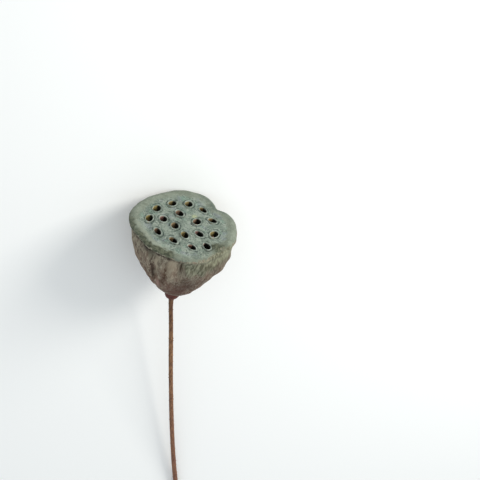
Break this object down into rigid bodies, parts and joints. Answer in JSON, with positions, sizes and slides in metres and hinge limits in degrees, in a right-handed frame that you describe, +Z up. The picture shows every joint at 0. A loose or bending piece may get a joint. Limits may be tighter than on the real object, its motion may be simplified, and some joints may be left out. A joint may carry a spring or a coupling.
{
  "type": "dried lotus pod",
  "caption": "Dried seed head on a thin bent stalk, lying down: a ribbed cone with a lobed rim and a flat face of oval sockets that hold loose nutlets.",
  "frame": {"origin": "centre of the bounding box at the level of the surface the pod lies on", "axes": "+Z up, +Y from the head along the stalk to its cut end, the face looks to -Y"},
  "size_m": [0.1138, 0.3574, 0.0921],
  "materials": {
    "pod": "dry, matt plant fibre: chalky grey-green face, taupe ribbed wall and red-brown stalk",
    "seed": "dry, slightly satin red-brown nutlet shell"
  },
  "bodies": {
    "root": {"pod": "pod", "seed_01": "seed", "seed_02": "seed", "seed_03": "seed", "seed_04": "seed", "seed_05": "seed", "seed_06": "seed", "seed_07": "seed", "seed_08": "seed", "seed_09": "seed", "seed_10": "seed", "seed_11": "seed", "seed_12": "seed", "seed_13": "seed", "seed_14": "seed", "seed_15": "seed", "seed_16": "seed", "seed_17": "seed"}
  },
  "joints": []
}
